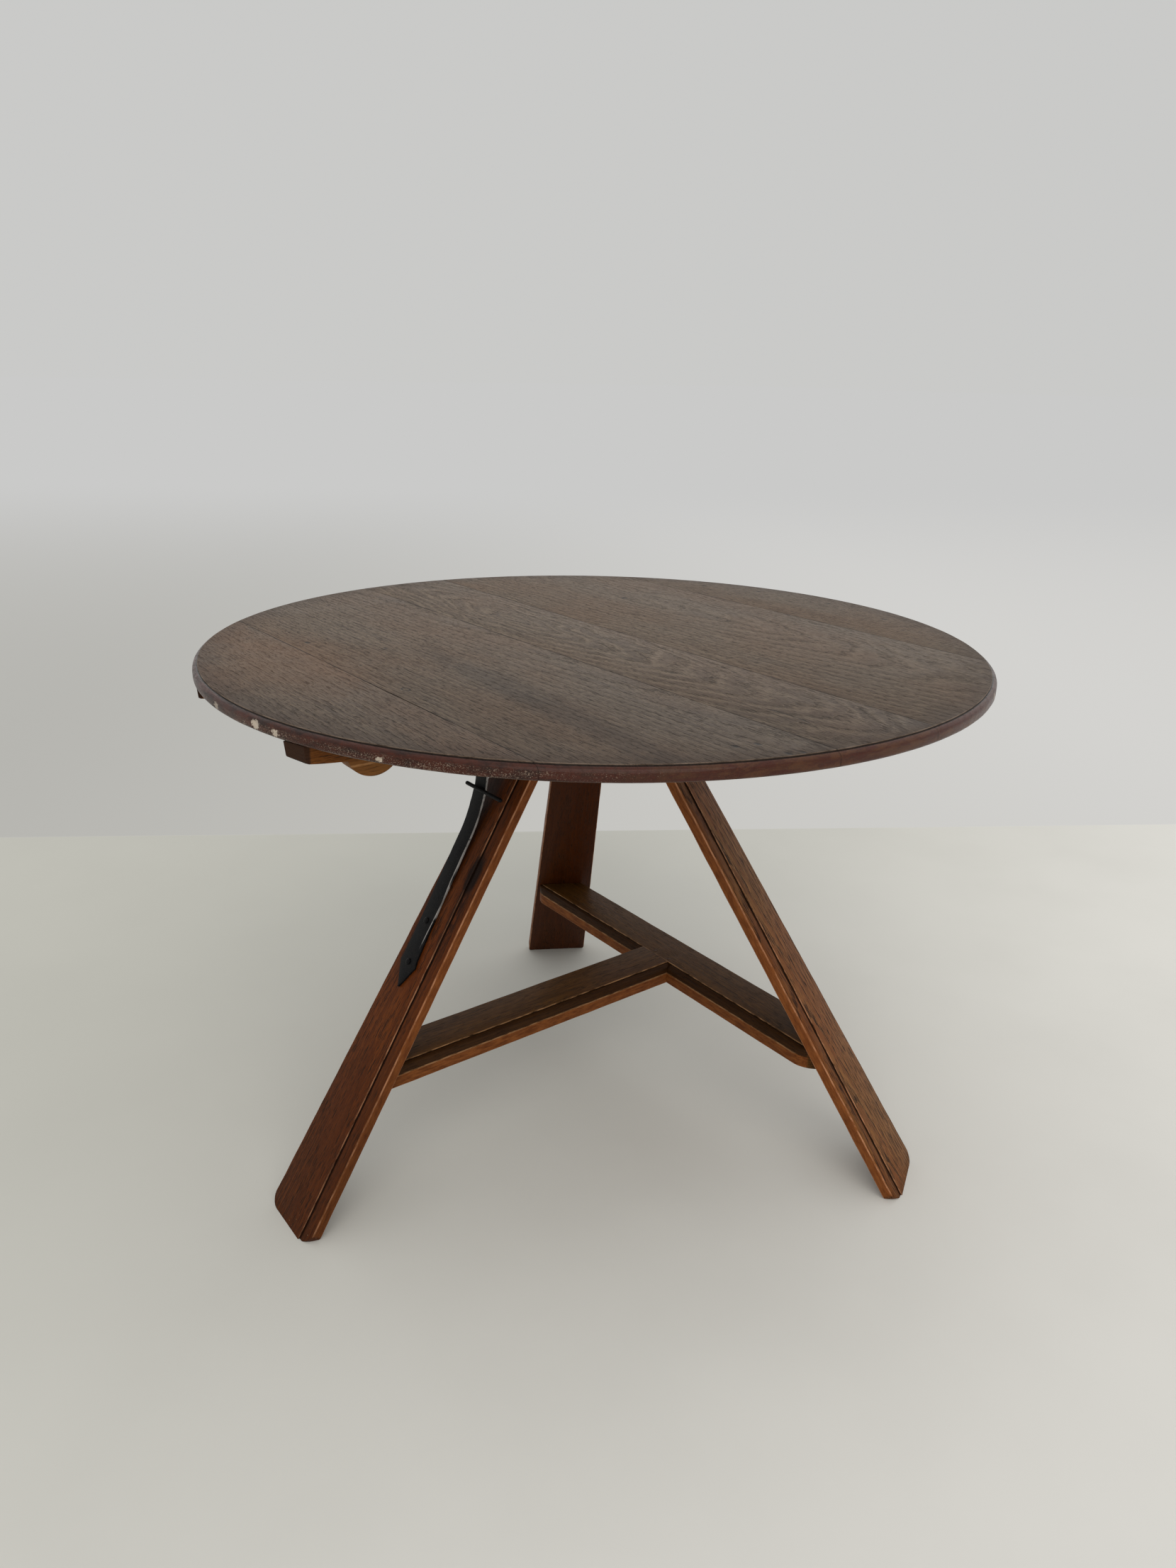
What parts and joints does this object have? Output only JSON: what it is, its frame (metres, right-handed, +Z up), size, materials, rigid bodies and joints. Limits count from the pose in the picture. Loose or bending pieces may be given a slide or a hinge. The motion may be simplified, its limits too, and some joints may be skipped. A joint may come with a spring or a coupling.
{
  "type": "tilt top table",
  "caption": "Round oak table whose boarded top tilts upright on a tripod of splayed plank legs and is held flat by an iron spring latch.",
  "frame": {"origin": "on the floor, under the middle of the round top", "axes": "+Z up; X along the top's boards and the cross stretcher; Y along the battens and the latch leg's stretcher, with the latch leg on the -Y side and the pivot on the +Y side"},
  "size_m": [1.05, 1.05, 0.737],
  "materials": {
    "top_oak": "aged grey-brown oak, worn wax, open pores; edge stained red-brown",
    "leg_oak": "stained oak, satin varnish, orange-brown on the narrow sides",
    "rail_oak": "stained oak, satin, grey-brown on top",
    "under_oak": "oak under the top, thinly stained",
    "black_iron": "forged, blackened, rubbed bright along the edges",
    "screw_steel": "old dull steel"
  },
  "bodies": {
    "frame": {"head_plate": "under_oak", "leg_latch_side": "leg_oak", "leg_right": "leg_oak", "leg_left": "leg_oak", "leg_wedge_latch": "under_oak", "leg_wedge_right": "under_oak", "leg_wedge_left": "under_oak", "cross_stretcher": "rail_oak", "latch_stretcher": "rail_oak", "stretcher_peg_1": "rail_oak", "stretcher_peg_2": "rail_oak", "pivot_pin_left": "under_oak", "pivot_pin_right": "under_oak", "strap_foot": "black_iron", "strap_screw_1": "black_iron", "strap_screw_2": "black_iron"},
    "tabletop": {"top_board_1": "top_oak", "top_board_2": "top_oak", "top_board_3": "top_oak", "top_board_4": "top_oak", "top_board_5": "top_oak", "batten_left": "under_oak", "batten_right": "under_oak", "batten_screw_left_1": "screw_steel", "batten_screw_left_2": "screw_steel", "batten_screw_left_3": "screw_steel", "batten_screw_left_4": "screw_steel", "batten_screw_left_5": "screw_steel", "batten_screw_right_1": "screw_steel", "batten_screw_right_2": "screw_steel", "batten_screw_right_3": "screw_steel", "batten_screw_right_4": "screw_steel", "batten_screw_right_5": "screw_steel", "keeper_staple": "black_iron"},
    "latch": {"spring_blade": "black_iron", "finger_bar": "black_iron"}
  },
  "joints": [
    {"name": "top_tilt", "type": "hinge", "parent": "frame", "child": "tabletop", "pos_m": [0, 0.155, 0.7016], "axis": [-1, 0, 0], "range_deg": [0, 88]},
    {"name": "latch_flex", "type": "hinge", "parent": "frame", "child": "latch", "pos_m": [-0.02, -0.25, 0.4006], "axis": [1, 0, 0], "range_deg": [0, 3.2], "stiffness_Nm_per_rad": 40, "springref_deg": -1.15}
  ]
}
